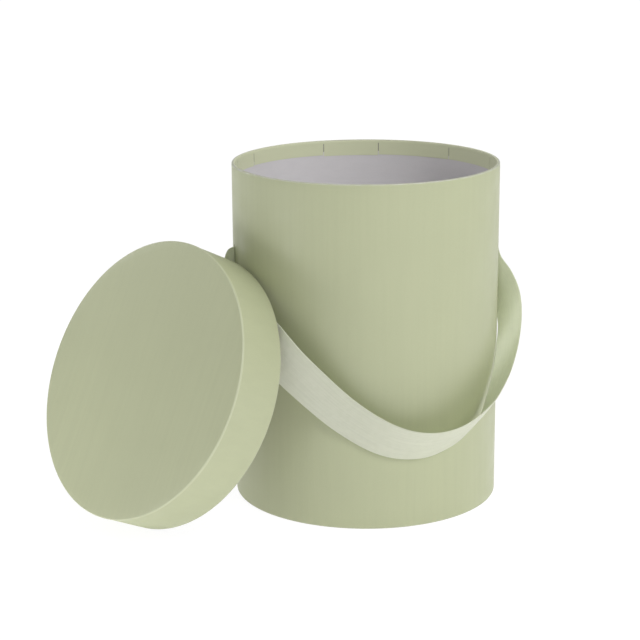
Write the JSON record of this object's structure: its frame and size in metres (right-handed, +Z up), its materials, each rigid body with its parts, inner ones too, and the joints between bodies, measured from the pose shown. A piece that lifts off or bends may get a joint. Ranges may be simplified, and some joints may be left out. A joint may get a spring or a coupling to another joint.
{
  "type": "hat box",
  "caption": "Round paper-covered hat box with a lift-off lid leaning on its side and a ribbon carrying strap looped across the front.",
  "frame": {"origin": "on the box's own axis, at the floor it stands on", "axes": "+Z up along the box's axis, -Y to the front where the strap hangs, -X and +X through the two strap slots"},
  "size_m": [0.3595, 0.2365, 0.255],
  "materials": {
    "greyboard": "raw rolled greyboard, matt",
    "cover_paper": "sage green covering paper, matt with a faint fibre grain",
    "lining_paper": "off-white lining paper with a lilac cast, matt",
    "ribbon": "pale satin ribbon, soft sheen"
  },
  "bodies": {
    "box": {"body_board": "greyboard", "body_wrap": "cover_paper", "body_lining": "lining_paper", "base_board": "greyboard", "base_cover": "cover_paper", "base_lining": "lining_paper", "strap_tail_left": "ribbon", "strap_tail_right": "ribbon", "tail_patch_left": "lining_paper", "tail_patch_right": "lining_paper"},
    "strap": {"strap": "ribbon"},
    "lid": {"lid_rim_board": "greyboard", "lid_top_board": "greyboard", "lid_rim_paper": "cover_paper", "lid_top_paper": "cover_paper", "lid_rim_lining": "lining_paper", "lid_top_lining": "lining_paper"}
  },
  "joints": [
    {"name": "lid_lift", "type": "slide", "parent": "box", "child": "lid", "axis": [-0.7817, -0.4513, 0.4305], "range_m": [0, 0.15]},
    {"name": "strap_swing", "type": "hinge", "parent": "box", "child": "strap", "pos_m": [0.1012, 0, 0.1785], "axis": [-0.8673, -0.4307, -0.2496], "range_deg": [0, 50], "deforming": ["strap"]}
  ]
}
